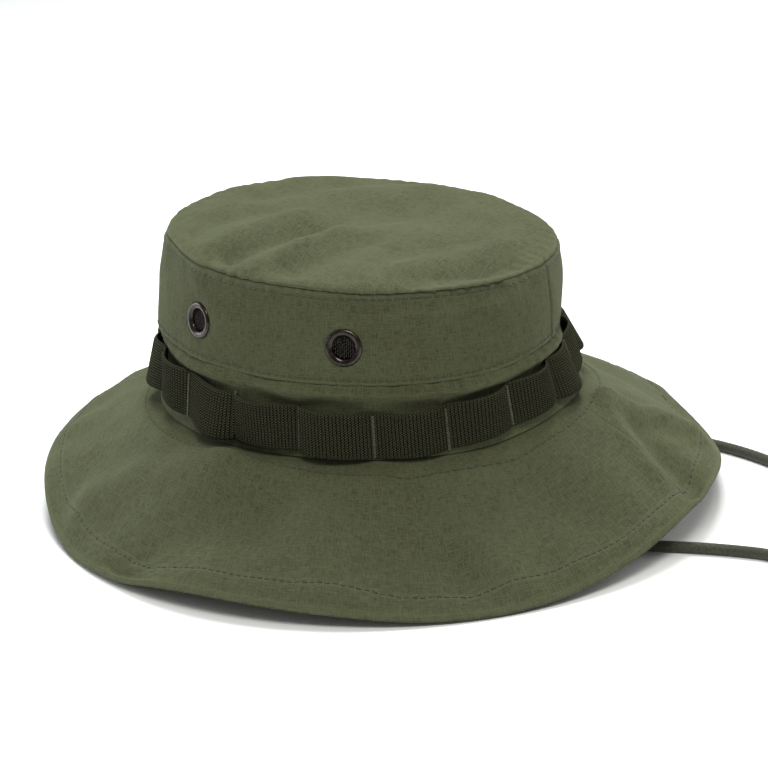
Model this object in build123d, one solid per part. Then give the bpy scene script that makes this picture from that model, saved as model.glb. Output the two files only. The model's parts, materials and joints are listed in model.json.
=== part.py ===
from build123d import *
import math
import os

# A boonie hat standing on the edge of its brim. Millimetres, +Z up, floor at z = 0.
# The front of the hat points to -Y and the wearer's left is +X.

# Crown: an oval that narrows towards the top. Rings are the oval grown by an offset.
HALF_LENGTH = 103.0        # oval's half length along Y, at the seam between crown and brim
HALF_WIDTH = 85.5          # oval's half width along X, at the same seam
SEAM_Z = 52.0              # height of the seam between crown and brim
LAP_Z = 84.0               # lower edge of the upper wall, lapped over the band
TOP_SEAM_Z = 123.0         # upper edge of the wall
TAPER = 0.162              # how far the wall moves inwards for each millimetre of height
TOP_DOME = 5.5             # how far the top panel rises above its seam
LAP_HEIGHT = 8.0           # how far the band runs up behind the wall

CLOTH = 0.9                # one ply of cotton with its turned edge
PLY_GAP = 0.1              # air between two plies sewn together
LAYER_GAP = 0.15           # air between a wall and what lies on it

# Brim: two plies of cloth with an interlining between them.
BRIM_INNER = -2.6          # inner margin of the brim, under the crown's edge
BRIM_FLAT = 8.0            # width of the flatter part beside the crown
BRIM_FLAT_DROP = 2.5       # how far the flatter part falls
BRIM_RUN = 58.0            # width of the brim in plan
INTERLINING = 0.7
HEM = 3.0                  # the interlining stops this far inside the edge
BRIM_THICKNESS = 2 * CLOTH + INTERLINING + 2 * PLY_GAP

# Waves of the brim's edge: (middle in degrees, half width before, half width after, height).
EDGE_WAVES = (
    (275.0, 50.0, 55.0, 17.0),      # the front
    (335.0, 40.0, 32.0, 17.0),      # ahead of the wearer's left side, where the cord runs out
    (178.0, 34.0, 45.0, 8.0),       # the wearer's right side
    (75.0, 45.0, 40.0, 24.0),       # the back, lifted most
    (112.0, 35.0, 32.0, 17.0),      # the back's right half
)

# How the hat has settled: the crown leans, and its front is pushed in and up.
# Each bump is (middle in degrees, half width before, half width after), with its
# size at the seam between crown and brim, at the lap and at the top.
FRONT_DENT = (292.0, 62.0, 52.0)
DENT_DEPTHS = (2.5, 8.0, 0.0)
FRONT_RISE = (272.0, 48.0, 50.0)
RISE_HEIGHTS = (5.0, 3.0, 0.0)
TOP_LIFT = 2.5             # how far the whole top seam is raised
BACK_LIFT = 5.0            # and how much more at the back, and less at the front

# Webbing: one band of branch loops round the crown, tacked down at equal steps.
WEBBING_LOW_Z = 56.5
WEBBING_HIGH_Z = 76.5
WEBBING = 1.4
WEBBING_LIFT = 3.6         # how far a loop stands off between two tacks
LOOP_COUNT = 19
FIRST_TACK = 243.0         # degrees
TACK_WIDTH = 2.2
TACK_DEPTH = 0.9

# Vents: screened eyelets, two on each side of the crown.
VENT_ANGLES = (28.5, -18.7)    # degrees behind and ahead of the side's middle
VENT_Z = 100.0
EYELET_RADIUS = 8.2
EYELET_BORE = 5.0
EYELET_BARREL = 0.5
EYELET_FLANGE = 0.9
WASHER_RADIUS = 8.0
WASHER = 0.6
SCREEN = 0.4

# Inside.
SWEATBAND_LOW_Z = 50.0
SWEATBAND_HIGH_Z = 86.0
SWEATBAND = 1.2
SWEATBAND_OFFSET = -3.1    # the sweatband's outer face, at the height of its lower edge
BINDING = 0.6
BINDING_HEIGHT = 6.5
TAPE_HALF_ANGLE = 3.5
LABEL_HALF_ANGLE = 6.0
LABEL_LOW_Z = 58.0
LABEL_HIGH_Z = 74.0
LABEL = 0.4

# Chin cord: one loop of limp braid, sewn in at both sides.
CORD_RADIUS = 2.5
FLOOR_LAY = CORD_RADIUS + 0.1      # height of the cord's middle where it lies
TAB_X = 76.8
TAB_Y = -4.0
TAB_LOW_Z = 46.0
TAB_SIZE = (5.0, 10.0, 14.0)
KEEPER_SIZE = (3.2, 31.0, 10.4)    # along the cord, across it, and high
KEEPER_PITCH = 11.0                # from strand to strand
KEEPER_CLEARANCE = 0.3
KEEPER_START = 16.0                # along the straight stretch, at rest
KEEPER_RUN = 60.0                  # length of the straight stretch
KEEPER_Z = KEEPER_SIZE[2] / 2 + 0.1
KEEPER_ORIGIN = (-54.0, -238.0)    # where the inner strand enters that stretch
KEEPER_HEADING = 200.0             # degrees in plan

SECTION_STEP = 9.0         # degrees between the sections that a ring is lofted through


def bump(angle, middle, before, after):
    """1 in the middle of a wave, falling to 0 at its two ends."""
    away = (angle - middle + 180.0) % 360.0 - 180.0
    width = after if away > 0 else before
    return math.cos(math.pi / 2 * away / width) ** 2 if abs(away) < width else 0.0


def between_seams(z, at_seam, at_lap, at_top):
    """A value that changes evenly from one seam of the crown to the next."""
    if z <= LAP_Z:
        share = max(0.0, (z - SEAM_Z) / (LAP_Z - SEAM_Z))
        return at_seam + (at_lap - at_seam) * share
    return at_lap + (at_top - at_lap) * (z - LAP_Z) / (TOP_SEAM_Z - LAP_Z)


def settled(offset, z, angle):
    """Where a point of the plain hat has gone to: its offset and height."""
    spread = 1.0 - min(1.0, max(0.0, (offset - BRIM_FLAT) / (BRIM_RUN - BRIM_FLAT)))
    dent = bump(angle, *FRONT_DENT) * between_seams(z, *DENT_DEPTHS)
    rise = bump(angle, *FRONT_RISE) * between_seams(z, *RISE_HEIGHTS)
    lean = TOP_LIFT + BACK_LIFT * math.sin(math.radians(angle))
    share = max(0.0, (z - SEAM_Z) / (TOP_SEAM_Z - SEAM_Z))
    return offset - dent * spread, z + rise * spread + lean * share


def ring_point(offset, z, angle):
    """A point of the oval grown by an offset, at a height, in the settled hat."""
    offset, z = settled(offset, z, angle)
    turn = math.radians(angle)
    return Vector((HALF_WIDTH + offset) * math.cos(turn), (HALF_LENGTH + offset) * math.sin(turn), z)


def wall_offset(z):
    return -TAPER * (z - SEAM_Z)


def edge_height(angle):
    """Height of the brim's lower edge above the floor."""
    return sum(lift * bump(angle, middle, before, after) for middle, before, after, lift in EDGE_WAVES)


def arc_piece(profile, start, stop, step=SECTION_STEP):
    """Loft of a closed profile of (offset, z) points from one angle to another."""
    count = max(2, math.ceil((stop - start) / step))
    faces = []
    for index in range(count + 1):
        angle = start + (stop - start) * index / count
        points = [ring_point(offset, z, angle) for offset, z in profile(angle)]
        faces.append(Face(Wire.make_polygon(points)))
    return loft(faces)


def left_half(profile):
    return arc_piece(profile, -90.0, 90.0)


def right_half(profile):
    return arc_piece(profile, 90.0, 270.0)


def leaning_profile(low, high, outer, thickness):
    """A strip parallel to the wall, its outer face at outer from the wall's own."""
    heights = [low, LAP_Z, high] if low < LAP_Z < high else [low, high]
    outside = [(wall_offset(z) + outer, z) for z in heights]
    inside = [(offset - thickness, z) for offset, z in reversed(outside)]
    return lambda angle: outside + inside


def brim_profile(depth, thickness, inner, outer):
    """A ply of the brim, its upper face at depth below the brim's own."""
    def surface(offset, angle):
        if offset <= BRIM_FLAT:
            return SEAM_Z - PLY_GAP - BRIM_FLAT_DROP * (offset - BRIM_INNER) / (BRIM_FLAT - BRIM_INNER)
        high = SEAM_Z - PLY_GAP - BRIM_FLAT_DROP
        low = edge_height(angle) + BRIM_THICKNESS
        return high + (low - high) * (offset - BRIM_FLAT) / (BRIM_RUN - BRIM_FLAT)

    def profile(angle):
        offsets = [inner, BRIM_FLAT, outer]
        upper = [(offset, surface(offset, angle) - depth) for offset in offsets]
        lower = [(offset, z - thickness) for offset, z in reversed(upper)]
        return upper + lower
    return profile


def on_wall(angle, z):
    return ring_point(wall_offset(z), z, angle)


def wall_plane(angle, z):
    """A plane on the wall, its X along the wall and its Z pointing outwards."""
    along = on_wall(angle + 0.5, z) - on_wall(angle - 0.5, z)
    up = on_wall(angle, z + 0.5) - on_wall(angle, z - 0.5)
    return Plane(origin=on_wall(angle, z), x_dir=along, z_dir=along.cross(up))


def vent_planes():
    planes = []
    for away in VENT_ANGLES:
        planes.append(wall_plane(away, VENT_Z))
        planes.append(wall_plane(180.0 - away, VENT_Z))
    return planes


def disc(plane, radius, low, high, bore=0.0):
    """A disc or washer on a plane, from one height above it to another."""
    body = Pos(0, 0, (low + high) / 2) * Cylinder(radius, high - low)
    if bore > 0:
        body -= Pos(0, 0, (low + high) / 2) * Cylinder(bore, high - low)
    return plane.location * body


def crown_walls():
    profile = leaning_profile(LAP_Z, TOP_SEAM_Z - LAYER_GAP, 0.0, CLOTH)
    left = left_half(profile)
    right = right_half(profile)
    for plane in vent_planes():
        hole = disc(plane, EYELET_BORE + EYELET_BARREL + LAYER_GAP, -8.0, 8.0)
        if plane.origin.X > 0:
            left -= hole
        else:
            right -= hole
    return {"crown_wall_left": left, "crown_wall_right": right}


def crown_bands():
    profile = leaning_profile(SEAM_Z, LAP_Z + LAP_HEIGHT, -CLOTH - LAYER_GAP, CLOTH)
    return {"crown_band_left": left_half(profile), "crown_band_right": right_half(profile)}


def crown_top():
    """A shallow dome over the oval: a round one, narrowed along X."""
    half_length = HALF_LENGTH + wall_offset(TOP_SEAM_Z)
    half_width = HALF_WIDTH + wall_offset(TOP_SEAM_Z)
    rim = (half_length, TOP_SEAM_Z)
    crest = (0.0, TOP_SEAM_Z + TOP_DOME)
    middle = (half_length * 0.55, TOP_SEAM_Z + TOP_DOME * 0.78)
    with BuildPart() as panel:
        with BuildSketch(Plane.XZ):
            with BuildLine():
                ThreePointArc(rim, middle, crest)
                Line(crest, (0.0, crest[1] + CLOTH))
                ThreePointArc((0.0, crest[1] + CLOTH), (middle[0], middle[1] + CLOTH), (rim[0], rim[1] + CLOTH))
                Line((rim[0], rim[1] + CLOTH), rim)
            make_face()
        revolve(axis=Axis.Z)
    oval = scale(panel.part, by=(half_width / half_length, 1.0, 1.0))
    lean = math.degrees(math.atan(BACK_LIFT / half_length))
    return {"crown_top_panel": Pos(0, 0, TOP_SEAM_Z + TOP_LIFT) * Rot(lean, 0, 0) * Pos(0, 0, -TOP_SEAM_Z) * oval}


def crown_trims():
    """The binding of the top seam, and the tapes over the front and back seams, all inside."""
    high = TOP_SEAM_Z - 1.0
    binding = leaning_profile(high - BINDING_HEIGHT, high, -CLOTH - LAYER_GAP, BINDING)
    tape_low = LAP_Z + LAP_HEIGHT + 1.0
    tape = leaning_profile(tape_low, high - BINDING_HEIGHT - 1.0, -CLOTH - LAYER_GAP, BINDING)
    tapes = [arc_piece(tape, middle - TAPE_HALF_ANGLE, middle + TAPE_HALF_ANGLE) for middle in (90.0, 270.0)]
    return {"top_seam_binding": left_half(binding) + right_half(binding), "crown_seam_tapes": Compound(tapes)}


def brim():
    pieces = {}
    upper = brim_profile(0.0, CLOTH, BRIM_INNER, BRIM_RUN)
    lower = brim_profile(BRIM_THICKNESS - CLOTH, CLOTH, BRIM_INNER, BRIM_RUN)
    filling = brim_profile(CLOTH + PLY_GAP, INTERLINING, BRIM_INNER + 1.0, BRIM_RUN - HEM)
    pieces["brim_upper_left"] = left_half(upper)
    pieces["brim_upper_right"] = right_half(upper)
    pieces["brim_lower_left"] = left_half(lower)
    pieces["brim_lower_right"] = right_half(lower)
    pieces["brim_interlining"] = left_half(filling) + right_half(filling)
    return pieces


def webbing_profile(angle):
    """The webbing's section, which stands off the band between two tacks."""
    lift = WEBBING_LIFT * math.sin(math.pi * LOOP_COUNT * (angle - FIRST_TACK) / 360.0) ** 2
    heights = (WEBBING_LOW_Z, WEBBING_HIGH_Z)
    outside = [(wall_offset(z) - CLOTH + WEBBING + lift, z) for z in heights]
    inside = [(offset - WEBBING, z) for offset, z in reversed(outside)]
    return outside + inside


def webbing():
    step = 360.0 / LOOP_COUNT / 6
    middle = FIRST_TACK + 180.0
    band = arc_piece(webbing_profile, FIRST_TACK, middle, step)
    band += arc_piece(webbing_profile, middle, FIRST_TACK + 360.0, step)
    tacks = []
    height = WEBBING_HIGH_Z - WEBBING_LOW_Z - 2.0
    for index in range(LOOP_COUNT):
        plane = wall_plane(FIRST_TACK + 360.0 * index / LOOP_COUNT, (WEBBING_LOW_Z + WEBBING_HIGH_Z) / 2)
        bar = Pos(0, 0, -CLOTH + WEBBING + 2 * LAYER_GAP + TACK_DEPTH / 2) * Box(TACK_WIDTH, height, TACK_DEPTH)
        tacks.append(plane.location * bar)
    return {"webbing_band": band, "webbing_bar_tacks": Compound(tacks)}


def vents():
    """Each vent is an eyelet with a screen across its bore and a washer inside the wall."""
    eyelets = []
    screens = []
    washers = []
    barrel = EYELET_BORE + EYELET_BARREL
    for plane in vent_planes():
        flange = disc(plane, EYELET_RADIUS, LAYER_GAP, LAYER_GAP + EYELET_FLANGE, EYELET_BORE)
        tube = disc(plane, barrel, -CLOTH - 1.6, LAYER_GAP + EYELET_FLANGE, EYELET_BORE)
        eyelets.append(flange + tube)
        screens.append(disc(plane, EYELET_BORE - 0.02, -0.6 - SCREEN, -0.6))
        washers.append(disc(plane, WASHER_RADIUS, -CLOTH - 0.8 - WASHER, -CLOTH - 0.8, barrel + 0.05))
    return {
        "vent_eyelets": Compound(eyelets),
        "vent_screens": Compound(screens),
        "vent_washers": Compound(washers),
    }


def sweatband():
    outer = SWEATBAND_OFFSET - wall_offset(SWEATBAND_LOW_Z)
    band = leaning_profile(SWEATBAND_LOW_Z, SWEATBAND_HIGH_Z, outer, SWEATBAND)
    label = leaning_profile(LABEL_LOW_Z, LABEL_HIGH_Z, outer - SWEATBAND - LAYER_GAP, LABEL)
    return {
        "sweatband": left_half(band) + right_half(band),
        "blank_label": arc_piece(label, 90.0 - LABEL_HALF_ANGLE, 90.0 + LABEL_HALF_ANGLE, 4.0),
    }


def cord_tabs():
    middle = TAB_LOW_Z + TAB_SIZE[2] / 2
    return {
        "cord_tab_left": Pos(TAB_X, TAB_Y, middle) * Box(*TAB_SIZE),
        "cord_tab_right": Pos(-TAB_X, TAB_Y, middle) * Box(*TAB_SIZE),
    }


def keeper_frame():
    """Along the straight stretch, and across it towards the outer strand."""
    turn = math.radians(KEEPER_HEADING)
    along = Vector(math.cos(turn), math.sin(turn), 0)
    across = Vector(-math.sin(turn), math.cos(turn), 0)
    return along, across


def keeper_point(along, across, z):
    ahead, aside = keeper_frame()
    return Vector(*KEEPER_ORIGIN, z) + ahead * along + aside * across


def cord_route():
    """Points of the chin cord, from the left tab round the loop's end to the right tab."""
    route = [
        (TAB_X, TAB_Y, TAB_LOW_Z), (TAB_X, TAB_Y, 29.5), (77.5, -12.0, 12.5), (80.0, -31.0, FLOOR_LAY),
        (86.0, -61.0, FLOOR_LAY), (93.5, -89.0, FLOOR_LAY), (96.0, -117.0, FLOOR_LAY),
        (91.0, -142.0, FLOOR_LAY), (81.0, -166.0, FLOOR_LAY), (68.0, -189.0, FLOOR_LAY),
        (47.0, -209.0, FLOOR_LAY), (20.0, -224.0, FLOOR_LAY), (-13.0, -236.0, FLOOR_LAY),
    ]
    ends = [(0, KEEPER_PITCH, KEEPER_Z), (KEEPER_RUN, KEEPER_PITCH, KEEPER_Z), (85, 23.7, FLOOR_LAY),
            (105, 25.4, FLOOR_LAY), (119, 13.8, FLOOR_LAY), (119, -2.8, FLOOR_LAY), (105, -14.4, FLOOR_LAY),
            (85, -12.7, FLOOR_LAY), (KEEPER_RUN, 0, KEEPER_Z), (0, 0, KEEPER_Z)]
    route += [tuple(keeper_point(*end)) for end in ends]
    route += [
        (-25.0, -223.0, FLOOR_LAY), (-12.0, -203.0, FLOOR_LAY), (-14.0, -177.0, FLOOR_LAY),
        (-20.0, -149.0, FLOOR_LAY), (-29.0, -121.0, FLOOR_LAY), (-40.0, -93.0, FLOOR_LAY),
        (-53.0, -63.0, FLOOR_LAY), (-67.0, -34.0, FLOOR_LAY), (-75.0, -14.0, 12.5), (-TAB_X, TAB_Y, 29.5),
        (-TAB_X, TAB_Y, TAB_LOW_Z),
    ]
    return [Vector(*point) for point in route]


def chin_cord():
    """A tube along straight runs joined by tangent arcs, each as large as its runs allow."""
    route = cord_route()
    runs = [(after - before).length for before, after in zip(route, route[1:])]
    radii = []
    for index in range(1, len(route) - 1):
        turn = (route[index] - route[index - 1]).get_angle(route[index + 1] - route[index])
        shorter = min(runs[index - 1], runs[index])
        radii.append(0.45 * shorter / math.tan(math.radians(turn / 2)))
    path = FilletPolyline(*route, radius=radii)
    start = Plane(origin=path @ 0, z_dir=path % 0)
    tube = sweep(start * Circle(CORD_RADIUS), path=path)
    return {"chin_cord": tube}


def cord_keeper():
    """A leather slide with a hole for each strand."""
    along, across = keeper_frame()
    middle = keeper_point(KEEPER_START, KEEPER_PITCH / 2, KEEPER_Z)
    plane = Plane(origin=middle, x_dir=along, z_dir=(0, 0, 1))
    block = Box(*KEEPER_SIZE)
    block = fillet(block.edges().filter_by(Axis.X), 3.0)
    for side in (-1, 1):
        block -= Pos(0, side * KEEPER_PITCH / 2, 0) * Rot(0, 90, 0) * Cylinder(
            CORD_RADIUS + KEEPER_CLEARANCE, 2 * KEEPER_SIZE[0])
    return {"cord_keeper": plane.location * block}


def main():
    makers = (crown_top, crown_walls, crown_bands, crown_trims, webbing, vents, brim, sweatband,
              cord_tabs, chin_cord, cord_keeper)
    os.makedirs("parts", exist_ok=True)
    for make in makers:
        for name, piece in make().items():
            export_step(piece, f"parts/{name}.step")


main()
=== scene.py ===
import json
import math

import bpy
import numpy as np
from mathutils import Matrix, Vector


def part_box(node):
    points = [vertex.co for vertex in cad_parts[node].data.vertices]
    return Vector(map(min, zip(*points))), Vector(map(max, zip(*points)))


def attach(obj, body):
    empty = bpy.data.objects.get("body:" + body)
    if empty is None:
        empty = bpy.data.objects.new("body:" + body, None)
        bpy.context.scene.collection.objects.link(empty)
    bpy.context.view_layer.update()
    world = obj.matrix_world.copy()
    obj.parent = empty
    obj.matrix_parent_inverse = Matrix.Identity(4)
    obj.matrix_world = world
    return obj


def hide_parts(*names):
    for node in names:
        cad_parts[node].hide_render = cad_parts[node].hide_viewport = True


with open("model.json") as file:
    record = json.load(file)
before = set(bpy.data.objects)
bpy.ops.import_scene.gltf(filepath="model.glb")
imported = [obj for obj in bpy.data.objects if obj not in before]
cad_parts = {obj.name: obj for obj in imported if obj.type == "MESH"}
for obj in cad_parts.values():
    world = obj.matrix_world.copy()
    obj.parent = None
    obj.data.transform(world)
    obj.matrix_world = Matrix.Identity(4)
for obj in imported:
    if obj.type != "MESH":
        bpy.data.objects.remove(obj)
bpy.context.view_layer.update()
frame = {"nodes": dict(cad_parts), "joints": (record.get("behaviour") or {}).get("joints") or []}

MM = 0.001
BODY = "hat"

# The oval and the brim's width come from the frame, and the heights are the model's own. Metres.
SEAM_Z = 52.0 * MM
LAP_Z = 84.0 * MM
RIM_Z = 123.0 * MM
TAPER = 0.162
TOP_DOME = 6.4 * MM
LAP_HEIGHT = 8.0 * MM
TOP_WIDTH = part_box("crown_top_panel")[1].x
HALF_WIDTH = TOP_WIDTH + TAPER * (RIM_Z - SEAM_Z)
HALF_LENGTH = HALF_WIDTH + 17.5 * MM
TOP_LENGTH = HALF_LENGTH - TAPER * (RIM_Z - SEAM_Z)
BRIM_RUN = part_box("brim_upper_left")[1].y - HALF_LENGTH

# The cloth and the sewing.
CLOTH = 0.9 * MM
PLY_GAP = 0.1 * MM
INTERLINING = 0.7 * MM
BRIM_THICKNESS = 2 * CLOTH + INTERLINING + 2 * PLY_GAP
LAP_STEP = CLOTH + 0.15 * MM
STITCH = 2.6 * MM
STITCH_GAP = 0.8 * MM
THREAD = 0.32 * MM
HEM_WIDTH = 8.5 * MM
BASE_STITCH = 7.0 * MM
RIM_STITCH = 2.6 * MM
LAP_STITCH = 1.8 * MM
WALL_TOP_Z = RIM_Z - 0.1 * MM
SOFT_WAVES = 16

# Marks of the sewing: a groove's depth and width, and a pucker's pitch, height and reach, in
# millimetres, and its seed.
RIM_GROOVE = (0.8, 1.3)
LAP_GROOVE = (0.3, 0.7)
WALL_SEAM_GROOVE = (0.7, 0.9)
HEM_GROOVE = (0.42, 0.9)
BASE_GROOVE = (0.4, 0.9)
BRIM_SEAM_GROOVE = (0.35, 0.8)
RIM_PUCKER = (8.5, 0.32, 4, 11)
LAP_PUCKER = (10, 0.22, 4, 13)
BAND_PUCKER = (11, 0.4, 5, 23)
TOP_PUCKER = (8.5, 0.32, 3, 33)
HEM_PUCKER = (9.5, 0.26, 4.5, 43)
BASE_PUCKER = (8.0, 0.22, 4.0, 45)

# Slow wandering of the cloth: height and wavelength in millimetres, and seed.
WALL_WANDER = ((0.55, 62, 3), (0.18, 21, 4))
TOP_WANDER = ((0.9, 58, 31), (0.25, 22, 32))
BRIM_WANDER = ((1.1, 75, 41), (0.4, 27, 42))

# The brim: its inner margin, and the waves of its edge. A wave is its middle and its reach
# before and after that, in degrees, and its height in millimetres.
BRIM_INNER = -2.6 * MM
BRIM_FLAT = 8.0 * MM
BRIM_FLAT_DROP = 2.5 * MM
REST_GAP = 0.35 * MM
EDGE_WAVES = (
    (275.0, 50.0, 55.0, 17.0),      # the front
    (335.0, 40.0, 32.0, 17.0),      # ahead of the wearer's left side, where the cord runs out
    (178.0, 34.0, 45.0, 8.0),       # the wearer's right side
    (75.0, 45.0, 40.0, 24.0),       # the back, lifted most
    (112.0, 35.0, 32.0, 17.0),      # the back's right half
)

# How the hat has settled: the crown leans, and its front is pushed in and up.
# Sizes are at the seam between crown and brim, at the lap and at the top.
FRONT_DENT = (292.0, 62.0, 52.0)
DENT_DEPTHS = (2.5 * MM, 8.0 * MM, 0.0)
FRONT_RISE = (272.0, 48.0, 50.0)
RISE_HEIGHTS = (5.0 * MM, 3.0 * MM, 0.0)
TOP_LIFT = 2.5 * MM
BACK_LIFT = 5.0 * MM

# The webbing.
WEBBING_LOW_Z = 56.5 * MM
WEBBING_HIGH_Z = 76.5 * MM
WEBBING = 1.4 * MM
LOOP_COUNT = 19
FIRST_TACK = 243.0
RIB_PITCH = 1.55 * MM

# The vents, in degrees from the side's middle.
VENT_ANGLES = (28.5, -18.7)
VENT_Z = 100.0 * MM
EYELET_RADIUS = 8.2 * MM
EYELET_BORE = 5.0 * MM

# Inside: heights, and the sweatband's outer face measured from the wall's.
SWEATBAND_Z = (50.0 * MM, 86.0 * MM)
SWEATBAND_OUTER = -3.424 * MM
SWEATBAND = 1.2 * MM
BINDING_Z = (115.5 * MM, 122.0 * MM)
TAPE_Z = (93.0 * MM, 114.5 * MM)
LABEL_Z = (58.0 * MM, 74.0 * MM)
BINDING = 0.6 * MM
LABEL = 0.4 * MM

# The chin cord.
CORD_RADIUS = 2.5 * MM
CORD_STEP = 0.45 * MM
CORD_SIDES = 32
BRAID_STRANDS = 4
BRAID_PITCH = 13 * MM
BRAID_RELIEF = 0.045


# ---------------------------------------------------------------- shapes

def wave(turn, middle, before, after):
    """1 in the middle of a wave, falling to 0 at its two ends."""
    away = (np.degrees(turn) - middle + 180.0) % 360.0 - 180.0
    width = np.where(away > 0, after, before)
    return np.where(np.abs(away) < width, np.cos(math.pi / 2 * away / width) ** 2, 0.0)


def waves(turn, table):
    return sum(height * MM * wave(turn, middle, before, after) for middle, before, after, height in table)


def between_seams(z, sizes):
    return np.interp(z, [SEAM_Z, LAP_Z, RIM_Z], sizes)


def settled(offset, z, turn):
    """Where a point of the plain hat has gone to: its offset and height."""
    spread = 1 - np.clip((offset - BRIM_FLAT) / (BRIM_RUN - BRIM_FLAT), 0, 1)
    dent = wave(turn, *FRONT_DENT) * between_seams(z, DENT_DEPTHS)
    rise = wave(turn, *FRONT_RISE) * between_seams(z, RISE_HEIGHTS)
    lean = (TOP_LIFT + BACK_LIFT * np.sin(turn)) * np.maximum((z - SEAM_Z) / (RIM_Z - SEAM_Z), 0)
    return offset - dent * spread, z + rise * spread + lean


def ring(offset, z, turn):
    """Points of the oval grown by an offset, at a height, in the settled hat. Turn is in radians."""
    offset, z, turn = np.broadcast_arrays(offset, z, turn)
    offset, z = settled(offset, z, turn)
    return np.stack([(HALF_WIDTH + offset) * np.cos(turn), (HALF_LENGTH + offset) * np.sin(turn), z], -1)


def wall_offset(z):
    return -TAPER * (z - SEAM_Z)


def unit(vectors):
    return vectors / np.maximum(np.linalg.norm(vectors, axis=-1, keepdims=True), 1e-12)


def outward(turn):
    """The crown's outward direction, in plan."""
    return unit(np.stack([HALF_LENGTH * np.cos(turn), HALF_WIDTH * np.sin(turn), 0 * turn], -1))


def arc_length(turn):
    """Distance round the oval from turn zero."""
    fine = np.linspace(-math.pi, 3 * math.pi, 4001)
    speed = np.hypot(HALF_WIDTH * np.sin(fine), HALF_LENGTH * np.cos(fine))
    total = np.concatenate([[0.0], np.cumsum((speed[1:] + speed[:-1]) / 2 * np.diff(fine))])
    return np.interp(turn, fine, total) - np.interp(0.0, fine, total)


def softness(points, wavelength, seed):
    """A smooth random height of about unit size, made of plane waves."""
    rng = np.random.default_rng(seed)
    total = 0.0
    for _ in range(SOFT_WAVES):
        direction = unit(rng.normal(size=3))
        length = wavelength * rng.uniform(0.7, 1.5)
        total = total + np.cos(points @ direction * (2 * math.pi / length) + rng.uniform(0, 2 * math.pi))
    return total / math.sqrt(SOFT_WAVES / 2)


def wavering(distance, wavelength, seed):
    """softness along a line."""
    return softness(np.stack([distance, 0 * distance, 0 * distance], -1), wavelength, seed)


def wander(points, table):
    return sum(height * MM * softness(points, wavelength * MM, seed) for height, wavelength, seed in table)


def pucker(along, away, pitch, height, reach, seed):
    """Small ripples across a seam, dying out with distance from it. Sizes are in millimetres."""
    phase = 2 * math.pi * along / (pitch * MM) + 2.4 * wavering(along, 5 * pitch * MM, seed)
    strength = 0.65 + 0.35 * wavering(along, 9 * pitch * MM, seed + 1)
    return height * MM * strength * np.sin(phase) * np.exp(-np.abs(away) / (reach * MM))


def groove(away, depth, width):
    return -depth * MM * np.exp(-(away / (width * MM)) ** 2)


def folds(place, table):
    """Ridges, or valleys where the height is negative: from, to, width and height in millimetres."""
    total = 0.0
    for start, end, width, height in table:
        start, end = np.array(start) * MM, np.array(end) * MM
        run = end - start
        share = ((place - start) @ run) / (run @ run)
        nearest = start + np.clip(share, 0, 1)[..., None] * run
        away = np.linalg.norm(place - nearest, axis=-1)
        total = total + height * MM * np.exp(-(away / (width * MM)) ** 2)
    return total


def normals_of(points):
    """Outward normals of a grid whose rows go up and whose columns go anticlockwise."""
    return unit(np.cross(np.gradient(points, axis=1), np.gradient(points, axis=0)))


def round_angles(sides):
    return np.arange(sides) * 2 * math.pi / sides


def halves(columns, gap):
    """The hat's left and right half, each stopping a gap in degrees short of the front and the back."""
    for side, start in (("left", -90.0), ("right", 90.0)):
        yield side, np.radians(np.linspace(start + gap, start + 180.0 - gap, columns))


def quads(rows, columns, wrap=False):
    row = np.arange(rows - 1)[:, None]
    column = np.arange(columns if wrap else columns - 1)[None, :]
    following = (column + 1) % columns
    low, high = row * columns, (row + 1) * columns
    return np.stack([low + column, low + following, high + following, high + column], -1).reshape(-1, 4)


def linked(name, data):
    """A new object in the scene."""
    new = bpy.data.objects.new(name, data)
    bpy.context.scene.collection.objects.link(new)
    return new


def tube_faces(rings, sides, first=0):
    """Faces of a tube of rings, with a cap at each end. First is the number of its first point."""
    start = list(range(first, first + sides))
    end = [corner + (rings - 1) * sides for corner in start]
    return (quads(rings, sides, wrap=True) + first).tolist() + [start[::-1], end]


def mesh_object(name, points, faces, uv=None, wear=None):
    """A smooth mesh, with the cloth's flat coordinates and its wear at each point."""
    mesh = bpy.data.meshes.new(name)
    mesh.from_pydata(points, [], faces)
    mesh.polygons.foreach_set("use_smooth", np.ones(len(mesh.polygons), bool))
    if uv is not None:
        layer = mesh.uv_layers.new(name="cloth")
        corners = np.zeros(len(mesh.loops), np.int32)
        mesh.loops.foreach_get("vertex_index", corners)
        layer.data.foreach_set("uv", uv[corners].astype(np.float32).ravel())
    if wear is not None:
        attribute = mesh.attributes.new("wear", "FLOAT", "POINT")
        attribute.data.foreach_set("value", wear.astype(np.float32).ravel())
    mesh.update()
    mesh.validate()
    return linked(name, mesh)


def hole_rims(gone, columns, count):
    """Faces between the outer and inner layers round the cells that are left out."""
    rims = []
    vertex = np.arange(gone.shape[0] + 1)[:, None] * columns + np.arange(gone.shape[1] + 1)[None, :]
    upright = vertex[:-1, 1:-1], vertex[1:, 1:-1], gone[:, :-1], gone[:, 1:]
    level = vertex[1:-1, :-1], vertex[1:-1, 1:], gone[1:], gone[:-1]
    for start, end, before, after in (upright, level):
        for first, second, rim in ((start, end, before & ~after), (end, start, after & ~before)):
            first, second = first[rim], second[rim]
            rims.append(np.stack([first, second, second + count, first + count], -1))
    return rims


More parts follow.
